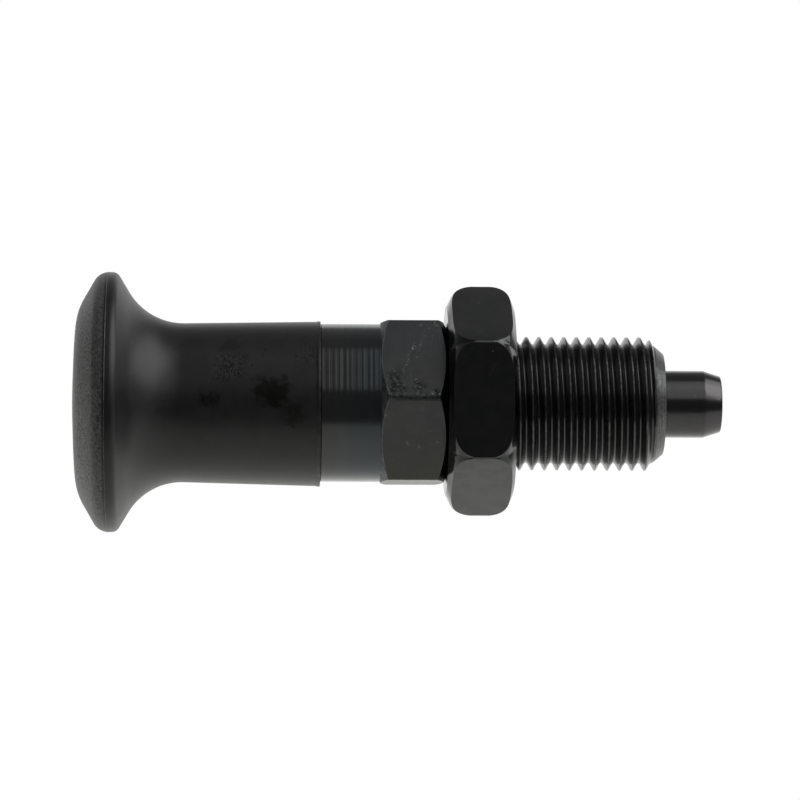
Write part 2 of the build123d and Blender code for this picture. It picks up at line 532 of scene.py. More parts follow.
# wear on the two near flats of the collar, each place given by x and z
collarWear = {
    # x, z, radius, depth
    "dents": [
        (-6.45, 2.2, 0.75, 0.09),
        (-6.85, 1.3, 0.4, 0.08),
        (-5.7, 1.6, 0.4, 0.06),
        (-6.2, 3.8, 0.45, 0.03),
        (-1.7, 1.2, 0.3, 0.08),
        (-1.05, 1.15, 0.2, 0.06),
        (-3.45, 1.2, 0.3, 0.05),
        (-4.0, 6.6, 0.25, 0.03),
        (-4.6, 5.4, 0.25, 0.02),
    ],
    # x, z, radius, brightness
    "chips": [
        (-4.08, 6.52, 0.2, 0.9),
        (-3.9, 6.68, 0.16, 0.8),
        (-3.91, 7.05, 0.13, 0.5),
        (-4.44, 6.13, 0.16, 0.4),
        (-4.58, 5.65, 0.17, 0.5),
        (-4.6, 5.12, 0.15, 0.4),
        (-2.2, 8.95, 0.13, 0.5),
        (-3.18, 9.25, 0.15, 0.7),
        (-1.45, 9.45, 0.2, 0.9),
        (-1.2, 9.2, 0.14, 0.8),
        (-3.58, 5.42, 0.16, 0.35),
        (-2.47, 5.75, 0.12, 0.3),
        (-6.19, 6.23, 0.15, 0.2),
        (-3.76, 2.81, 0.13, 0.6),
        (-3.64, 2.48, 0.11, 0.6),
        (-3.37, 1.89, 0.15, 0.6),
        (-4.23, 2.33, 0.1, 0.4),
        (-6.75, 1.15, 0.16, 0.8),
        (-6.35, 1.02, 0.12, 0.7),
        (-3.4, 1.05, 0.16, 0.7),
        (-1.85, 1.15, 0.16, 0.9),
        (-1.6, 1.3, 0.14, 0.9),
        (-1.05, 1.1, 0.14, 1.0),
        (-7.27, -1.46, 0.13, 0.7),
        (-4.85, -4.62, 0.13, 0.35),
        (-4.66, -4.85, 0.13, 0.4),
        (-3.45, -5.05, 0.14, 0.45),
        (-3.25, -5.3, 0.12, 0.35),
        (-1.25, -4.58, 0.16, 0.25),
        (-3.1, -0.72, 0.3, 0.12),
    ],
    # from x, z to x, z, width, brightness
    "scratches": [
        (-4.71, 4.95, -5.24, 3.72, 0.11, 0.6),
        (-3.0, 7.67, -3.37, 6.19, 0.15, 0.4),
        (-2.35, 8.02, -2.78, 7.95, 0.08, 0.8),
        (-4.6, 3.66, -4.07, 3.25, 0.08, 0.3),
        (-6.3, 2.85, -5.77, 2.16, 0.17, 0.8),
        (-5.72, 2.05, -5.25, 1.36, 0.11, 0.5),
        (-2.2, 8.85, -2.3, 8.3, 0.07, 0.3),
        (-1.35, 4.05, -0.9, 4.0, 0.05, -0.6),
    ],
    # x, z, radius
    "tears": [
        (-6.5, 2.0, 1.05),
        (-6.4, 3.1, 0.8),
        (-5.5, 1.6, 0.6),
        (-3.6, 2.0, 0.7),
        (-1.5, 1.4, 0.4),
    ],
}


def neckTone(tree, spot, x):
    # the oxide drifts from olive through pale green and violet to teal
    drift = calc(tree, "MULTIPLY_ADD", grain(tree, spot, 0.7, 3.0), 1.6, calc(tree, "ADD", x, -0.8))
    ramp = addNode(tree, "ShaderNodeValToRGB", {0: ease(tree, drift, neckRear, collarRear)})
    stops = sleeve["neckTones"]
    while len(ramp.color_ramp.elements) < len(stops):
        ramp.color_ramp.elements.new(0.5)
    for element, (position, color) in zip(ramp.color_ramp.elements, stops):
        element.position, element.color = position, (*color, 1)
    return ramp.outputs[0]


def collarTone(tree, spot, x, z):
    # bar stock, duller than what is turned, with a fine drawn grain along the axis; the upper flats
    # carry a painted cool reflection tint and the lower flats a painted warm one
    s = sleeve
    drawn = grain(tree, spot, 1.6, 4.0, 0.6, stretch=(0.25, 1.0, 1.0))
    blotch = grain(tree, spot, 0.45, 3.0)
    tone = tint(tree, ease(tree, blotch, 0.3, 0.7), *s["collarTones"])
    tone = tint(tree, ease(tree, drawn, 0.3, 0.7, 0.0, 0.35), tone, s["drawnTone"])
    # painted reflection tint: cooler towards the top, warmer towards the bottom
    tone = tint(tree, ease(tree, z, 3.0, 8.5, 0.0, 0.5), tone, s["topReflectionTint"])
    tone = tint(tree, ease(tree, z, -3.0, -8.5, 0.0, 0.6), tone, s["bottomReflectionTint"])
    # painted shade: a dark strip just below the near corner
    strip = window(tree, z, *s["paintedShadeStripZ"], 0.15)
    strip = times(tree, strip, window(tree, x, *s["paintedShadeStripX"], 0.3))
    return tint(tree, times(tree, strip, 0.6), tone, s["paintedShadeStripTone"])


def threadTone(tree, spot, across):
    # dull flanks; roots painted paler as a painted highlight, and crests pale, partly worn and
    # partly a painted highlight
    s, crest = sleeve, thread["radius"]
    paleShare = ease(tree, grain(tree, spot, 2.6, 3.0), 0.35, 0.65)
    paleShare = times(tree, ease(tree, across, crest - 0.25, crest - 0.02), paleShare)
    paintedRootHighlight = ease(tree, across, crest - 0.45, crest - 0.1, 1.0, 0.0)
    return tint(tree, paleShare, tint(tree, paintedRootHighlight, s["flankTone"], s["rootHighlightTone"]), s["crestWearAndHighlightTone"])


def behindCollar(tree, x, across):
    # the share that lies on the chamfer behind the collar
    s = sleeve
    slope = tan(radians(s["collarChamfer"]))
    behind = calc(tree, "MULTIPLY_ADD", across, slope, 0.08 + collarRear)
    behind = calc(tree, "SUBTRACT", behind, s["neckRadius"] * slope)
    behind = ease(tree, calc(tree, "SUBTRACT", behind, x), -0.04, 0.08)
    return times(tree, behind, window(tree, x, collarRear + 0.02, collarRear + 1.2, 0.03))


def collarMarks(tree, spot, collar):
    # the shares of dark pits and of the pale torn metal between them
    fleck = grain(tree, spot, 2.6, 5.0, 0.75)
    ragged = ease(tree, grain(tree, spot, 4.5, 3.0, 0.7), 0.4, 0.62)
    near = shaken(tree, spot, 3.4, 0.35)
    torn = addNode(tree, "ShaderNodeAttribute", attribute_name="torn").outputs["Fac"]
    for x, z, radius in collarWear["tears"]:
        torn = calc(tree, "MAXIMUM", torn, nearSpot(tree, near, onFlat(x, z), radius, 0.8))
    pit = times(tree, torn, ease(tree, fleck, 0.58, 0.46))
    chip = times(tree, times(tree, torn, 0.55), ease(tree, fleck, 0.58, 0.72))
    for x, z, radius, bright in collarWear["chips"]:
        mark = times(tree, nearSpot(tree, near, onFlat(x, z), radius), bright)
        chip = calc(tree, "MAXIMUM", chip, times(tree, mark, ragged))
    for fromX, fromZ, toX, toZ, width, bright in collarWear["scratches"]:
        line = nearLine(tree, near, onFlat(fromX, fromZ), onFlat(toX, toZ), width)
        mark = times(tree, line, times(tree, ragged, abs(bright)))
        if bright > 0:
            chip = calc(tree, "MAXIMUM", chip, mark)
        else:
            pit = calc(tree, "MAXIMUM", pit, mark)
    speck = times(tree, ease(tree, grain(tree, spot, 2.2, 1.0), 0.76, 0.82), collar)
    return pit, calc(tree, "MAXIMUM", chip, times(tree, speck, 0.2))


def makeSleeveFinish():
    s = sleeve
    material, tree, shader = newFinish("blackenedSleeve", s["spigotTone"], 0.2, metallic=0.88)
    spot = spotOf(tree)
    x, y, z = partsOf(tree, spot)
    across = calc(tree, "SQRT", calc(tree, "MULTIPLY_ADD", y, y, times(tree, z, z)))
    neck = window(tree, x, neckRear, collarRear - 0.05, 0.03)
    collar = window(tree, x, collarRear, 0.0, 0.05)
    screw = window(tree, x, 0.05, noseRear - 0.05, 0.05)
    nose = ease(tree, x, noseRear - 0.06, noseRear + 0.02)
    behind = behindCollar(tree, x, across)
    pit, chip = collarMarks(tree, spot, collar)

    # turning marks run round the axis, so their grain reads only x
    lane = addNode(tree, "ShaderNodeCombineXYZ", {0: x}).outputs[0]
    cuts = grain(tree, lane, 3.5, 3.0, 0.7)
    lines = grain(tree, lane, 9.0, 2.0)
    # painted glints streaked along the nose's turning lines
    glint = grain(tree, spot, 3.0, 3.0, 0.7)
    glint = calc(tree, "MULTIPLY_ADD", glint, 0.35, times(tree, lines, 0.65))
    # patchy share for the painted highlight behind the collar
    paleShare = ease(tree, grain(tree, spot, 1.3, 3.0), 0.35, 0.65)

    color = tint(tree, neck, s["spigotTone"], neckTone(tree, spot, x))
    color = tint(tree, collar, color, collarTone(tree, spot, x, z))
    color = tint(tree, screw, color, threadTone(tree, spot, across))
    color = tint(tree, nose, color, tint(tree, ease(tree, glint, 0.4, 0.6), *s["noseSteelAndGlintTones"]))
    # the chamfer behind the collar painted pale, a painted highlight
    color = tint(tree, behind, color, tint(tree, paleShare, *s["rearChamferHighlightTones"]))
    color = tint(tree, pit, color, s["pitTone"])
    color = tint(tree, chip, color, s["chipTone"])
    tree.links.new(color, shader.inputs["Base Color"])

    fine = grain(tree, spot, 9.0, 3.0, 0.6)
    rough = mixed(tree, collar, mixed(tree, neck, 0.22, 0.19), 0.33)
    rough = mixed(tree, nose, mixed(tree, behind, rough, 0.6), 0.34)
    rough = calc(tree, "MULTIPLY_ADD", fine, 0.12, calc(tree, "ADD", rough, -0.06))
    tree.links.new(rough, shader.inputs["Roughness"])

    ringed = times(tree, lines, calc(tree, "MAXIMUM", nose, neck))
    height = times(tree, times(tree, fine, collar), 0.02)
    height = calc(tree, "MULTIPLY_ADD", ringed, 0.006, height)
    height = calc(tree, "MULTIPLY_ADD", times(tree, cuts, neck), 0.012, height)
    height = calc(tree, "MULTIPLY_ADD", calc(tree, "ADD", pit, chip), -0.02, height)
    relief(tree, shader, height)
    return material


def neckOutline():
    s = sleeve
    start, end = neckRear + 0.1, collarRear - 0.1
    count = round((end - start) / s["ringPitch"])
    pitch = (end - start) / count
    shifts = [s["ringUneven"] * noise.noise(Vector((k * 2.3, 5.1, 0.0))) for k in range(1, count)]
    bounds = [start + (k + shift) * pitch for k, shift in enumerate([0, *shifts, 0])]
    corners = []
    for k in range(count):
        wide = bounds[k + 1] - bounds[k]
        depth = s["ringDepth"] * (0.8 + 0.7 * noise.noise(Vector((k * 1.7, 0.3, 0.0))))
        depth *= wide / pitch
        for j in range(s["ringSteps"]):
            share = j / s["ringSteps"]
            hollow = 4 * depth * share * (1 - share)
            corners.append((bounds[k] + share * wide, s["neckRadius"] - hollow))
    corners.append((end, s["neckRadius"]))
    return corners


def bruise(piece):
    points = readPoints(piece)
    outward = np.column_stack([np.zeros(len(points)), points[:, 1:]])
    outward /= np.maximum(np.linalg.norm(outward, axis=1), 1e-9)[:, None]
    push = np.zeros(len(points))
    torn = np.zeros(len(points))
    for placeX, placeZ, radius, depth in collarWear["dents"]:
        gap = np.linalg.norm(points - np.array(onFlat(placeX, placeZ)), axis=1) / radius
        push += depth * (0.35 * np.exp(-((gap - 1.3) ** 2) * 6) - np.exp(-(gap**2)))
    # the near corner is nicked all along, as if knocked against a vice
    corner = radians(sleeve["turn"] + 180)
    edge = collarFlat / cos(pi / 6) * np.array([cos(corner), sin(corner)])
    beside = np.linalg.norm(points[:, 1:] - edge, axis=1)
    inside = (points[:, 0] > collarRear + 0.7) & (points[:, 0] < -0.7) & (beside < 1.2)
    for i in np.where(inside)[0]:
        ragged = noise.noise(Vector((points[i, 0] * 2.3, 0.0, 4.0)))
        ragged += 0.5 * noise.noise(Vector(points[i] * 4.0))
        near = np.exp(-((beside[i] / 0.32) ** 2))
        push[i] += 0.11 * min(ragged - 0.15, 0.1) * near
        torn[i] = max(torn[i], near * 0.8)
    on = (points[:, 0] > collarRear) & (points[:, 0] < 0)
    on &= np.linalg.norm(points[:, 1:], axis=1) > collarFlat - 0.5
    points += outward * (push * on)[:, None]
    writePoints(piece, points)
    layer = piece.data.attributes.new("torn", "FLOAT", "POINT")
    layer.data.foreach_set("value", (torn * on).astype(np.float32))
    return piece


def makeSleeve():
    s = sleeve
    angles = ringAngles(s["turn"], ring["points"], ring["crowding"])
    hexagon = hexagonRadius(angles, s["turn"], s["collarAcrossFlats"], s["collarCornerBlend"])
    slope = tan(radians(s["collarChamfer"]))
    setback = (hexagon - s["neckRadius"]) * slope
    frontSetback = (hexagon - s["collarFrontRadius"]) * slope
    chamberFront = sleeveFront - s["guideLength"]
    undercutFront = s["undercutWidth"] - (thread["radius"] - s["undercutRadius"])
    edge = s["edge"]
    flatRear, flatFront = collarRear + setback, -frontSetback
    flats = [
        (flatRear + (flatFront - flatRear) * share, hexagon)
        for share in np.arange(1, s["collarSlices"]) / s["collarSlices"]
    ]
    corners = [
        (noseRear, s["noseRadius"]),
        (noseRear + s["noseLand"], s["noseRadius"] - 0.01),
        (sleeveFront, s["noseFrontRadius"], edge),
        (sleeveFront, s["guideRadius"] + s["guideMouth"], edge / 2),
        (sleeveFront - s["guideMouth"], s["guideRadius"], edge / 2),
        (chamberFront, s["guideRadius"], edge),
        (chamberFront, s["boreRadius"], edge),
        (sleeveRear, s["boreRadius"], edge),
        (sleeveRear, s["spigotRadius"], 5 * edge),
        (neckRear, s["spigotRadius"], edge),
        (neckRear, s["neckRadius"], edge / 2),
        *neckOutline(),
        (collarRear, s["neckRadius"], edge / 4),
        (flatRear, hexagon, edge / 2),
        *flats,
        (flatFront, hexagon, edge / 2),
        (0, s["collarFrontRadius"], edge),
        (0, s["undercutRadius"], 4 * edge),
        (undercutFront, s["undercutRadius"]),
    ]
    piece = turnedPiece("threadedSleeve", roundedRings(corners, ring["points"]), angles)
    start, end = (undercutFront, s["undercutRadius"]), (noseRear, s["noseRadius"])
    finish = makeSleeveFinish()
    piece = cutThread(piece, threadNodes, s["turn"], 1, *start, *end, s["threadEndSlope"], finish)
    return finishMesh(bruise(piece))


threadNodes = threadTree()
threadedSleeve = makeSleeve()
seat(threadedSleeve, "sleeve", "plunger_body")
print("sleeve done")

# locknut: hexagon with broad soft corners, the hexagon a little off the thread's centre

locknut = {
    "turn": 29.0,
    "acrossFlats": 23.84,
    "cornerBlend": 0.35,
    "chamfer": 33.0,
    "rear": {"reach": 0.12, "faceRadius": 11.24, "round": 2.88, "flatDepth": 0.57},
    "front": {"reach": -0.1, "faceRadius": 11.26, "round": 2.44, "flatDepth": 0.38},
    "roundSteps": 11,
    "edge": 0.07,
    "mouthRadius": 8.6,
    "offCentre": 0.27,
    "tones": ((0.038, 0.041, 0.04), (0.05, 0.051, 0.05)),
    "scratchTone": (0.16, 0.16, 0.15),
    # from x, y, z to x, y, z, width, brightness
    "scratches": [
        (5.26, -11.9, 4.6, 4.7, -11.95, 3.2, 0.16, 0.25),
        (5.06, -11.85, 6.25, 5.08, -11.85, 6.15, 0.1, 0.9),
        (2.53, -11.8, 6.6, 2.6, -11.8, 6.45, 0.08, 0.4),
        (3.66, -3.5, 11.98, 3.8, -3.5, 11.96, 0.08, 0.5),
    ],
}


def makeNutFinish():
    n = locknut
    material, tree, shader = newFinish("blackenedNut", n["tones"][0], 0.15, metallic=0.99)
    spot = spotOf(tree)
    cloud = grain(tree, spot, 0.5, 3.0)
    broken = grain(tree, spot, 4.0, 3.0)
    marks = times(tree, ease(tree, grain(tree, spot, 1.9, 1.0), 0.8, 0.84), 0.25)
    for *ends, width, bright in n["scratches"]:
        line = nearLine(tree, spot, ends[:3], ends[3:], width)
        line = times(tree, line, ease(tree, broken, 0.35, 0.6, 0.0, bright))
        marks = calc(tree, "MAXIMUM", marks, line)
    color = tint(tree, ease(tree, cloud, 0.3, 0.7), *n["tones"])
    tree.links.new(tint(tree, marks, color, n["scratchTone"]), shader.inputs["Base Color"])
    fine = grain(tree, spot, 7.0, 3.0, 0.6)
    wide = grain(tree, spot, 0.8, 2.0)
    rough = calc(tree, "MULTIPLY_ADD", fine, 0.07, calc(tree, "MULTIPLY_ADD", wide, 0.06, 0.08))
    tree.links.new(rough, shader.inputs["Roughness"])
    height = calc(tree, "MULTIPLY_ADD", fine, 0.0022, times(tree, wide, 0.012))
    relief(tree, shader, calc(tree, "MULTIPLY_ADD", marks, -0.02, height))
    return material


def turnedShoulder(hexagon, end):
    # (setback, radius) pairs: a chamfer that runs into an arc at the hexagon's corners
    n = locknut
    angle = radians(n["chamfer"])
    face, bend = end["faceRadius"], end["round"]
    outer, flat = hexagon.max(), n["acrossFlats"] / 2
    bendAt = outer - bend * (1 - sin(angle))
    arcEnd = (bendAt - face) * tan(angle) + bend * cos(angle)

    def depth(radius):
        arc = arcEnd - np.sqrt(np.maximum(bend**2 - (radius - outer + bend) ** 2, 0))
        return np.where(radius > bendAt, arc, (radius - face) * tan(angle))

    # towards the middle of a flat the chamfer draws in to a depth of its own
    full = depth(hexagon)
    corner = (hexagon**2 - flat**2) / (outer**2 - flat**2)
    kept = end["flatDepth"] + (full - end["flatDepth"]) * corner
    shares = np.arange(1, n["roundSteps"] + 1) / n["roundSteps"]
    radii = [face + (hexagon - face) * share for share in shares]
    return [(depth(radius) * kept / full, radius) for radius in radii]


def makeLocknut():
    n = locknut
    angles = ringAngles(n["turn"], ring["points"], ring["crowding"])
    hexagon = hexagonRadius(angles, n["turn"], n["acrossFlats"], n["cornerBlend"])
    rearFace, frontFace = nutRear - n["rear"]["reach"], nutFront + n["front"]["reach"]
    rear = [(rearFace + back, radius) for back, radius in turnedShoulder(hexagon, n["rear"])]
    front = [(frontFace - back, radius) for back, radius in turnedShoulder(hexagon, n["front"])]
    corners = [
        (rearFace, n["mouthRadius"]),
        (rearFace, n["rear"]["faceRadius"], n["edge"]),
        *rear[:-1],
        (*rear[-1], n["edge"]),
        (*front[-1], n["edge"]),
        *front[-2::-1],
        (frontFace, n["front"]["faceRadius"], n["edge"]),
        (frontFace, n["mouthRadius"]),
    ]
    piece = turnedPiece("hexLocknut", roundedRings(corners, ring["points"], step=12.0), angles)
    start, end = (rearFace, n["mouthRadius"]), (frontFace, n["mouthRadius"])
    piece = cutThread(piece, threadNodes, n["turn"], -1, *start, *end, 1.0, makeNutFinish())
    points = readPoints(piece)
    outside = np.linalg.norm(points[:, 1:], axis=1) > n["mouthRadius"] + 0.1
    points[:, 2] += n["offCentre"] * outside
    writePoints(piece, points)
    return finishMesh(piece)


hexLocknut = makeLocknut()
seat(hexLocknut, "nut", "locknut")
print("locknut done")

# knob: moulded in two halves of a tool, so a fine flash runs round its rim

knob = {
    "radius": 15.51,
    "domeReach": 4.25,
    "domeRadius": 116.0,
    "domeSlope": 4.2,
    "bevelAngle": 30.0,
    "bevelDepth": 3.144,
    "crownBlend": 7.0,
    "rimRearBlend": 2.0,
    "rimFrontBlend": 1.0,
    "rimLength": 2.1,
    "flashAt": 4.2,
    "flashHeight": 0.05,
    "flashWidth": 0.14,
    "flashRoot": 0.04,
    "flankAngle": 31.0,
    "waistBlend": 7.5,
    "skirtRadius": 9.83,
    "skirtSlope": 1.17,
    "lipWidth": 0.35,
    "lipHeight": 0.05,
    "lipRagged": 0.1,
    "mouthReach": 0.33,
    "boreRadius": 7.95,
    "hubAt": 14.15,
    "stemRadius": 3.0,
    "crownWall": 5.1,
    "lean": 0.0052,  # the skirt hangs low in its play, as a slope
    "skirtTones": ((0.004, 0.004, 0.004), (0.007, 0.007, 0.007)),
    # the crown's pale tone: partly its own grey, partly a painted sheen
    "crownGreyAndSheenTones": ((0.03, 0.03, 0.03), (0.2, 0.2, 0.195)),
    "crownCloudTone": (0.12, 0.12, 0.117),
    "crownEdgeTone": (0.008, 0.008, 0.008),
    "smearTone": (0.002, 0.002, 0.0015),
    "flakeTone": (0.04, 0.04, 0.038),
    "flashTone": (0.11, 0.11, 0.108),
    # rubbed patches on the skirt: x, z, radius, how dull, how broken up
    "smears": [
        (-21.7, 1.7, 1.3, 1.0, 0.1),
        (-20.0, 1.3, 1.6, 1.0, 0.0),
        (-18.5, -1.3, 1.3, 0.7, 0.4),
        (-25.8, 4.2, 1.8, 1.0, 1.0),
        (-24.3, 4.9, 1.0, 0.8, 1.0),
        (-28.2, 0.3, 1.0, 0.8, 0.3),
        (-21.8, 6.2, 0.5, 0.9, 0.8),
        (-16.9, 5.7, 1.5, 0.5, 1.0),
        (-25.7, 7.2, 1.2, 0.4, 0.2),
        (-32.6, 0.2, 1.4, 0.3, 1.0),
    ],
}


def crownTone(tree, x, eroded, coarse):
    # the crown's eroded texture shows pale, partly its own grey and partly a painted sheen, which
    # fades out towards the rim
    k = knob
    tone = tint(tree, ease(tree, eroded, 0.35, 0.62), *k["crownGreyAndSheenTones"])
    tone = tint(tree, ease(tree, coarse, 0.35, 0.65, 0.0, 0.6), tone, k["crownCloudTone"])
    # painted sheen, strongest near the crown's face and fading out towards the rim
    paintedSheenFade = ease(tree, x, knobRear + 0.9, knobRear + 3.6, 1.0, 0.45)
    return tint(tree, paintedSheenFade, k["crownEdgeTone"], tone)


def skirtMarks(tree, spot, strokes):
    # the shares of smeared skin and of its broken parts
    k = knob
    near = shaken(tree, spot, 1.0, 1.6)
    smear, broken = 0.0, 0.0
    for x, z, radius, share, ragged in k["smears"]:
        centre = (x, -sqrt(k["skirtRadius"] ** 2 - z**2), z)
        patch = times(tree, nearSpot(tree, near, centre, radius, 0.35), share)
        broken = calc(tree, "MAXIMUM", broken, times(tree, patch, ragged))
        worn = mixed(tree, ragged, 1.0, strokes)
        smear = calc(tree, "MAXIMUM", smear, times(tree, patch, worn))
    return smear, broken


def makeKnobFinish():
    k = knob
    material, tree, shader = newFinish("mouldedKnob", k["skirtTones"][1], 0.36, metallic=0.0)
    shader.inputs["Specular IOR Level"].default_value = 0.32
    spot = spotOf(tree)
    x = partsOf(tree, spot)[0]
    flashX = knobRear + k["flashAt"]
    crown = ease(tree, x, flashX - 0.5, flashX - 0.05, 1.0, 0.0)

    eroded = grain(tree, spot, 3.2, 4.0, 0.65)
    coarse = grain(tree, spot, 0.55, 3.0)
    fine = grain(tree, spot, 11.0, 2.0)
    strokes = grain(tree, spot, 2.4, 4.0, 0.75, stretch=(1.4, 0.8, 0.8))
    strokes = ease(tree, strokes, 0.44, 0.56)
    smear, broken = skirtMarks(tree, spot, strokes)
    flakes = ease(tree, grain(tree, spot, 3.4, 3.0, 0.75), 0.6, 0.68)
    flakes = times(tree, broken, flakes)
    flash = ease(tree, grain(tree, spot, 2.6, 3.0, 0.7), 0.35, 0.6, 0.2, 0.9)
    flash = times(tree, window(tree, x, flashX - 0.03, flashX + 0.04, 0.04), flash)

    color = tint(tree, ease(tree, coarse, 0.3, 0.7), *k["skirtTones"])
    color = tint(tree, smear, color, k["smearTone"])
    color = tint(tree, times(tree, flakes, 0.6), color, k["flakeTone"])
    color = tint(tree, crown, color, crownTone(tree, x, eroded, coarse))
    tree.links.new(tint(tree, flash, color, k["flashTone"]), shader.inputs["Base Color"])

    satin = calc(tree, "MULTIPLY_ADD", coarse, 0.08, 0.35)
    tree.links.new(times(tree, smear, 0.55), shader.inputs["Metallic"])
    tree.links.new(mixed(tree, crown, satin, 0.46), shader.inputs["Roughness"])

    height = times(tree, mixed(tree, crown, times(tree, fine, 0.05), eroded), 0.05)
    height = calc(tree, "MULTIPLY_ADD", times(tree, broken, strokes), -0.012, height)
    relief(tree, shader, height)
    return material


def makeKnob():
    k = knob
    angles = ringAngles(0, ring["points"])
    domeSlope, bevelSlope = tan(radians(k["domeSlope"])), tan(radians(k["bevelAngle"]))
    flankSlope, skirtSlope = tan(radians(k["flankAngle"])), tan(radians(k["skirtSlope"]))
    length = knobFront - knobRear + k["mouthReach"]
    # each corner is where two straight sides of the outline would meet; depth runs from the crown
    bevelStart = k["radius"] * bevelSlope - k["bevelDepth"]
    crownRadius = (bevelStart - k["domeReach"] * domeSlope) / (bevelSlope - domeSlope)
    crownDepth = (crownRadius - k["domeReach"]) * domeSlope
    flankDepth = k["bevelDepth"] + k["rimLength"]
    drop = k["radius"] - k["skirtRadius"] + skirtSlope * length
    waistDepth = (flankDepth + flankSlope * drop) / (1 + flankSlope * skirtSlope)
    waistRadius = k["skirtRadius"] - skirtSlope * (length - waistDepth)
    ragged = np.array([noise.noise(Vector((cos(a) * 24, sin(a) * 24, 7.0))) for a in angles])
    flashTop = k["radius"] + k["flashHeight"] * (0.7 + 0.5 * ragged)
    flashRear, flashFront = k["flashAt"] - k["flashWidth"] / 2, k["flashAt"] + k["flashWidth"] / 2
    lip = k["skirtRadius"] + k["lipHeight"] + k["lipRagged"] * ragged
    corners = [
        (0, 0),
        (0, k["domeReach"], k["domeRadius"]),
        (crownDepth, crownRadius, k["crownBlend"]),
        (k["bevelDepth"], k["radius"], k["rimRearBlend"]),
        (flashRear - k["flashRoot"], k["radius"]),
        (flashRear, k["radius"]),
        (k["flashAt"], flashTop),
        (flashFront, k["radius"]),
        (flashFront + k["flashRoot"], k["radius"]),
        (flankDepth, k["radius"], k["rimFrontBlend"]),
        (waistDepth, waistRadius, k["waistBlend"]),
        (length - k["lipWidth"] - 0.27, k["skirtRadius"] - 0.0125),
        (length - k["lipWidth"] - 0.15, k["skirtRadius"] - 0.01),
        (length - k["lipWidth"], lip, 0.08),
        (length - 0.5 * k["lipRagged"] * (1 + ragged), lip - 0.03, 0.03),
        (length - 0.1, k["boreRadius"], 0.2),
        (k["hubAt"], k["boreRadius"], 0.5),
        (k["hubAt"], k["stemRadius"], 0.1),
        (k["crownWall"], k["stemRadius"], 0.1),
        (k["crownWall"], 0),
    ]
    rings = roundedRings(corners, ring["points"], step=4.0)
    for line in rings:
        line[:, 0] += knobRear
    piece = turnedPiece("pullKnob", rings, angles)
    piece.data.materials.append(makeKnobFinish())
    places = readPoints(piece)
    places[:, 2] -= k["lean"] * (places[:, 0] - knobRear)
    writePoints(piece, places)
    return finishMesh(piece)


pullKnob = makeKnob()
seat(pullKnob, "plunger", "knob")
print("knob done")

# pin: ground shank and tapered nose, with the stop collar and stem hidden inside

pin = {
    "radius": 4.0,
    "tipRadius": 3.33,
    "taper": 2.15,
    "dome": 0.05,
    "stopRadius": 5.75,
    "stopRear": 10.0,
    "stopFront": 12.0,
    "stepAt": -12.5,
    "stemRadius": 3.0,
    "shankTones": ((0.044, 0.044, 0.044), (0.051, 0.05, 0.05)),
    # the taper painted a little paler, a painted highlight
    "coneHighlightTone": (0.056, 0.054, 0.055),
    "speckTone": (0.13, 0.12, 0.11),
}


def makePinFinish():
    p = pin
    material, tree, shader = newFinish("hardenedPin", p["shankTones"][0], 0.2)
    spot = spotOf(tree)
    x = partsOf(tree, spot)[0]
    coneRear = pinTip - p["taper"]
    cone = ease(tree, x, coneRear - 0.1, coneRear + 0.1)
    ground = grain(tree, spot, 1.0, 4.0, 0.65, stretch=(9.0, 0.35, 0.35))
    cloud = grain(tree, spot, 0.6, 3.0)
    speck = times(tree, ease(tree, grain(tree, spot, 2.4, 1.0), 0.73, 0.78), 0.5)
    color = tint(tree, ease(tree, ground, 0.3, 0.7), *p["shankTones"])
    # the taper painted a little paler, a painted highlight
    color = tint(tree, cone, color, p["coneHighlightTone"])
    tree.links.new(tint(tree, speck, color, p["speckTone"]), shader.inputs["Base Color"])
    rough = calc(tree, "MULTIPLY_ADD", ground, 0.08, calc(tree, "MULTIPLY_ADD", cloud, 0.06, 0.15))
    tree.links.new(rough, shader.inputs["Roughness"])
    relief(tree, shader, times(tree, ground, 0.0015))
    return material


def makePin():
    p = pin
    angles = ringAngles(0, ring["roundPoints"])
    corners = [
        (pinRear, 0),
        (pinRear, p["stemRadius"], 0.3),
        (p["stepAt"], p["stemRadius"], 0.1),
        (p["stepAt"], p["radius"], 0.3),
        (p["stopRear"], p["radius"], 0.1),
        (p["stopRear"], p["stopRadius"], 0.2),
        (p["stopFront"], p["stopRadius"], 0.2),
        (p["stopFront"], p["radius"], 0.1),
        (pinTip - p["taper"], p["radius"], 0.6),
        (pinTip - p["dome"], p["tipRadius"], 0.25),
        (pinTip, 0),
    ]
    piece = turnedPiece("locatingPin", roundedRings(corners, ring["roundPoints"]), angles)
    piece.data.materials.append(makePinFinish())
    return finishMesh(piece)


locatingPin = makePin()
seat(locatingPin, "plunger", "indexing_pin")
print("pin done")

# bush: pressed into the back of the sleeve, out of sight behind the skirt

bush = {
    "flangeRadius": 7.3,
    "flange": 1.0,
    "radius": 6.0,
    "holeRadius": 3.02,
    "edge": 0.2,
    "root": 0.05,
    "tones": ((0.3, 0.29, 0.27), (0.42, 0.41, 0.39)),
}


def makeBushFinish():
    b = bush
    material, tree, shader = newFinish("turnedBush", b["tones"][0], 0.3)
    lathe = grain(tree, spotOf(tree), 1.0, 3.0, 0.6, stretch=(8.0, 0.4, 0.4))
    color = tint(tree, ease(tree, lathe, 0.3, 0.7), *b["tones"])
    tree.links.new(color, shader.inputs["Base Color"])
    tree.links.new(calc(tree, "MULTIPLY_ADD", lathe, 0.15, 0.22), shader.inputs["Roughness"])
    relief(tree, shader, times(tree, lathe, 0.004))
    return material


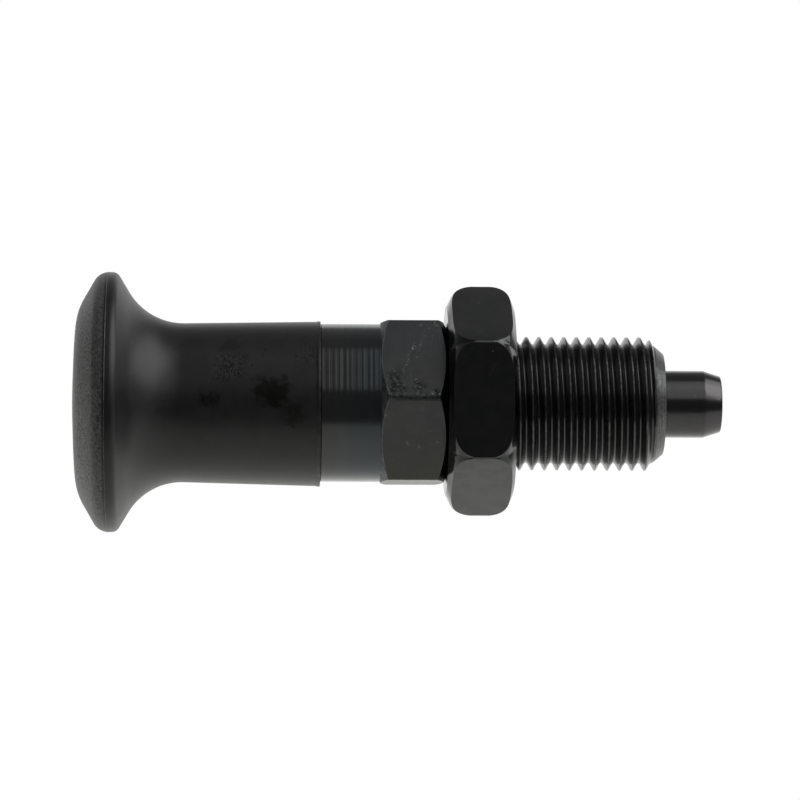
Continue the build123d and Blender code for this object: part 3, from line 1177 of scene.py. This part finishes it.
def makeBush():
    b = bush
    angles = ringAngles(0, ring["roundPoints"])
    corners = [
        (bushRear, b["holeRadius"], b["edge"]),
        (bushRear, b["flangeRadius"], b["edge"]),
        (bushRear + b["flange"], b["flangeRadius"], b["root"]),
        (bushRear + b["flange"], b["radius"], b["root"]),
        (bushFront, b["radius"], b["edge"]),
        (bushFront, b["holeRadius"], b["edge"]),
    ]
    rings = roundedRings(corners, ring["roundPoints"])
    piece = turnedPiece("guideBush", rings, angles, closed=True)
    piece.data.materials.append(makeBushFinish())
    return finishMesh(piece)


guideBush = makeBush()
seat(guideBush, "sleeve", "rear_bush")
print("bush done")

# spring: round wire, a dead coil ground flat at each end

spring = {
    "coilRadius": 5.1,
    "wireRadius": 0.5,
    "turns": 9.0,
    "pointsPerTurn": 40,
    "wirePoints": 16,
    "groundShare": 0.3,  # how much of the wire is ground off at each end
    "tones": ((0.2, 0.2, 0.21), (0.36, 0.36, 0.36)),
}


def springTree():
    tree, given = newGroup(
        "CoilSpring",
        {
            "Coil Radius": "Float",
            "Wire Radius": "Float",
            "Rear": "Float",
            "Front": "Float",
            "Turns": "Float",
            "Points Per Turn": "Int",
            "Wire Points": "Int",
            "Ground Share": "Float",
            "Material": "Material",
        },
    )
    line = addNode(tree, "GeometryNodeCurvePrimitiveLine", {"End": (1, 0, 0)})
    count = calc(tree, "MULTIPLY_ADD", given["Turns"], given["Points Per Turn"], 1.0)
    even = addNode(tree, "GeometryNodeResampleCurve", {"Curve": line.outputs[0], "Count": count})
    share = tree.nodes.new("GeometryNodeSplineParameter").outputs["Factor"]
    turned = times(tree, share, given["Turns"])
    angle = times(tree, turned, 2 * pi)
    wide = times(tree, given["Wire Radius"], 2.0)
    kept = calc(tree, "MULTIPLY_ADD", given["Ground Share"], -2.0, 1.0)
    inset = times(tree, given["Wire Radius"], kept)
    # the dead coils touch, and the rest share what length is left
    spare = calc(tree, "SUBTRACT", given["Front"], given["Rear"])
    spare = calc(tree, "SUBTRACT", spare, times(tree, inset, 2.0))
    spare = calc(tree, "SUBTRACT", spare, times(tree, given["Turns"], wide))
    active = calc(tree, "SUBTRACT", turned, 1.0)
    active = calc(tree, "DIVIDE", active, calc(tree, "SUBTRACT", given["Turns"], 2.0))
    active = clamped(tree, active, 0.0, 1.0)
    x = calc(tree, "MULTIPLY_ADD", turned, wide, times(tree, spare, active))
    x = calc(tree, "ADD", x, calc(tree, "ADD", given["Rear"], inset))
    y = times(tree, given["Coil Radius"], calc(tree, "COSINE", angle))
    z = times(tree, given["Coil Radius"], calc(tree, "SINE", angle))
    coil = moved(tree, even.outputs[0], x, y, z)
    wire = addNode(
        tree,
        "GeometryNodeCurvePrimitiveCircle",
        {"Resolution": given["Wire Points"], "Radius": given["Wire Radius"]},
    )
    tube = addNode(
        tree,
        "GeometryNodeCurveToMesh",
        {"Curve": coil, "Profile Curve": wire.outputs[0], "Fill Caps": True},
    )
    position = tree.nodes.new("GeometryNodeInputPosition").outputs[0]
    place = addNode(tree, "ShaderNodeSeparateXYZ", {0: position})
    ground = clamped(tree, place.outputs["X"], given["Rear"], given["Front"])
    cut = moved(tree, tube.outputs[0], ground, place.outputs["Y"], place.outputs["Z"])
    return closeGroup(tree, cut, given["Material"])


def makeSpringFinish():
    material, tree, shader = newFinish("springWire", spring["tones"][0], 0.32)
    drawn = grain(tree, spotOf(tree), 1.4, 3.0, 0.6)
    color = tint(tree, ease(tree, drawn, 0.3, 0.7), *spring["tones"])
    tree.links.new(color, shader.inputs["Base Color"])
    tree.links.new(calc(tree, "MULTIPLY_ADD", drawn, 0.2, 0.2), shader.inputs["Roughness"])
    relief(tree, shader, times(tree, drawn, 0.01))
    return material


def makeSpring():
    s = spring
    piece = bpy.data.objects.new("returnSpring", bpy.data.meshes.new("returnSpring"))
    bpy.context.scene.collection.objects.link(piece)
    runGroup(
        piece,
        springTree(),
        {
            "Coil Radius": s["coilRadius"] * mm,
            "Wire Radius": s["wireRadius"] * mm,
            "Rear": springRear * mm,
            "Front": springFront * mm,
            "Turns": s["turns"],
            "Points Per Turn": s["pointsPerTurn"],
            "Wire Points": s["wirePoints"],
            "Ground Share": s["groundShare"],
            "Material": makeSpringFinish(),
        },
    )
    return finishMesh(piece)


returnSpring = makeSpring()
seat(returnSpring, "coil", "spring")
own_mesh(returnSpring)
print("spring done")

# camera: a long lens, level with the axis and a little to the knob's side

view = {
    "focalPixels": 4324.0,
    "imagePixels": 800,
    "distance": 517.2,
    "yaw": 1.8,
    "roll": 0.25,
    "aimX": -5.41,
    "aimZ": 0.37,
}


def placeCamera():
    v = view
    data = bpy.data.cameras.new("camera")
    data.sensor_width = 36.0
    data.lens = v["focalPixels"] / v["imagePixels"] * data.sensor_width
    data.clip_start, data.clip_end = 0.05, 20
    camera = bpy.data.objects.new("camera", data)
    bpy.context.scene.collection.objects.link(camera)
    yaw = radians(v["yaw"])
    ahead = Vector((sin(yaw), cos(yaw), 0))
    camera.location = Vector((v["aimX"], 0, v["aimZ"])) * mm - ahead * v["distance"] * mm
    level = Euler((radians(90), 0, -yaw)).to_matrix()
    camera.rotation_euler = (level @ Matrix.Rotation(radians(v["roll"]), 3, "Z")).to_euler()
    bpy.context.scene.camera = camera


placeCamera()

# studio: a white tent with softboxes above to the right, open and dark behind the camera

studio = {
    # name, place, x that it faces, width and height, radiance
    "softboxes": [
        ("key", (470, -130, 420), 0, (640, 620), 2.4),
        ("wide", (350, -307, 400), 350, (680, 650), 1.1),
        ("side", (600, 70, 220), 0, (300, 240), 2.2),
    ],
    # name, x, top, glow
    "cards": [
        ("left", -620.0, 80.0, 1.0),
        ("right", 620.0, 450.0, 0.35),
    ],
    "cardFront": -150.0,
    "floorAt": -120.0,
    "floorFront": -208.0,
    "floorGlow": (0.05, 0.65),  # at the front and at the back of the sweep
    "floorBright": 60.0,  # y where the sweep is at its brightest
    "backdropAt": 600.0,
    "backdropTop": 450.0,
    "roomGlow": (0.13, 0.3),  # towards the camera and towards the backdrop
}


def makeSoftbox(name, place, facingX, size, radiance):
    data = bpy.data.lights.new(name + "Softbox", "AREA")
    data.shape = "RECTANGLE"
    data.size, data.size_y = size[0] * mm, size[1] * mm
    data.energy = radiance * pi * data.size * data.size_y
    lamp = bpy.data.objects.new(name + "Softbox", data)
    bpy.context.scene.collection.objects.link(lamp)
    lamp.location = Vector(place) * mm
    back = Vector(place) - Vector((facingX, 0, 0))
    lamp.rotation_euler = back.to_track_quat("Z", "Y").to_euler()


def seenShare(tree):
    path = tree.nodes.new("ShaderNodeLightPath")
    seen = calc(tree, "ADD", path.outputs["Is Camera Ray"], path.outputs["Is Glossy Ray"])
    return calc(tree, "MINIMUM", calc(tree, "ADD", seen, path.outputs["Is Transmission Ray"]), 1.0)


def newPaper(name):
    material = bpy.data.materials.new(name)
    material.use_nodes = True
    material.node_tree.nodes.clear()
    return material, material.node_tree


def showSurface(tree, surface, kind="ShaderNodeOutputMaterial"):
    tree.links.new(surface, tree.nodes.new(kind).inputs[0])


def makeCardPaper(name, glow):
    material, tree = newPaper(name)
    shine = addNode(tree, "ShaderNodeEmission", {"Color": (1, 1, 1, 1), "Strength": glow})
    paint = addNode(tree, "ShaderNodeBsdfDiffuse", {"Color": (0.8, 0.8, 0.8, 1)})
    surfaces = {0: seenShare(tree), 1: paint.outputs[0], 2: shine.outputs[0]}
    showSurface(tree, addNode(tree, "ShaderNodeMixShader", surfaces).outputs[0])
    return material


def makeFloorPaper():
    q = studio
    material, tree = newPaper("floorPaper")
    x, y = partsOf(tree, spotOf(tree))[:2]
    strength = ease(tree, y, q["floorFront"], q["floorBright"], *q["floorGlow"])
    strength = times(tree, strength, ease(tree, x, 80.0, 350.0, 1.0, 0.45))
    strength = times(tree, seenShare(tree), strength)
    shine = addNode(tree, "ShaderNodeEmission", {"Color": (1, 1, 0.97, 1), "Strength": strength})
    paint = addNode(tree, "ShaderNodeBsdfDiffuse", {"Color": (0.82, 0.82, 0.8, 1)})
    surfaces = {0: paint.outputs[0], 1: shine.outputs[0]}
    showSurface(tree, addNode(tree, "ShaderNodeAddShader", surfaces).outputs[0])
    return material


def makeSheet(name, corner, along, up, material):
    # a flat sheet spread from one corner along two of its sides
    corner, along, up = Vector(corner), Vector(along), Vector(up)
    corners = [corner, corner + along, corner + along + up, corner + up]
    mesh = bpy.data.meshes.new(name)
    mesh.from_pydata([place * mm for place in corners], [], [(0, 1, 2, 3)])
    mesh.materials.append(material)
    sheet = bpy.data.objects.new(name, mesh)
    bpy.context.scene.collection.objects.link(sheet)


def makeStage():
    q = studio
    low, front, back = q["floorAt"], q["floorFront"], q["backdropAt"]
    left, right = [x for name, x, top, glow in q["cards"]]
    width, depth, rise = (right - left, 0, 0), (0, back - front, 0), (0, 0, q["backdropTop"] - low)
    makeSheet("floorSheet", (left, front, low), width, depth, makeFloorPaper())
    makeSheet("backdrop", (left, back, low), width, rise, makeCardPaper("backPaper", 1.0))
    for name, x, top, glow in q["cards"]:
        length, height = (0, back - q["cardFront"], 0), (0, 0, top - low)
        paper = makeCardPaper(name + "Paper", glow)
        makeSheet(name + "Card", (x, q["cardFront"], low), length, height, paper)


def makeRoom():
    world = bpy.data.worlds.new("room")
    bpy.context.scene.world = world
    world.use_nodes = True
    tree = world.node_tree
    tree.nodes.clear()
    ahead = partsOf(tree, tree.nodes.new("ShaderNodeTexCoord").outputs["Generated"])[1]
    front, back = studio["roomGlow"]
    levels = {"Value": ahead, 1: -0.6, 2: 0.5, 3: front, 4: back}
    shade = addNode(tree, "ShaderNodeMapRange", levels).outputs[0]
    path = tree.nodes.new("ShaderNodeLightPath")
    strength = calc(tree, "MAXIMUM", path.outputs["Is Camera Ray"], shade)
    glow = addNode(tree, "ShaderNodeBackground", {"Color": (1, 1, 1, 1), "Strength": strength})
    showSurface(tree, glow.outputs[0], "ShaderNodeOutputWorld")


for softbox in studio["softboxes"]:
    makeSoftbox(*softbox)
makeStage()
makeRoom()
print("studio done")

bpy.context.scene.view_settings.view_transform = "Standard"
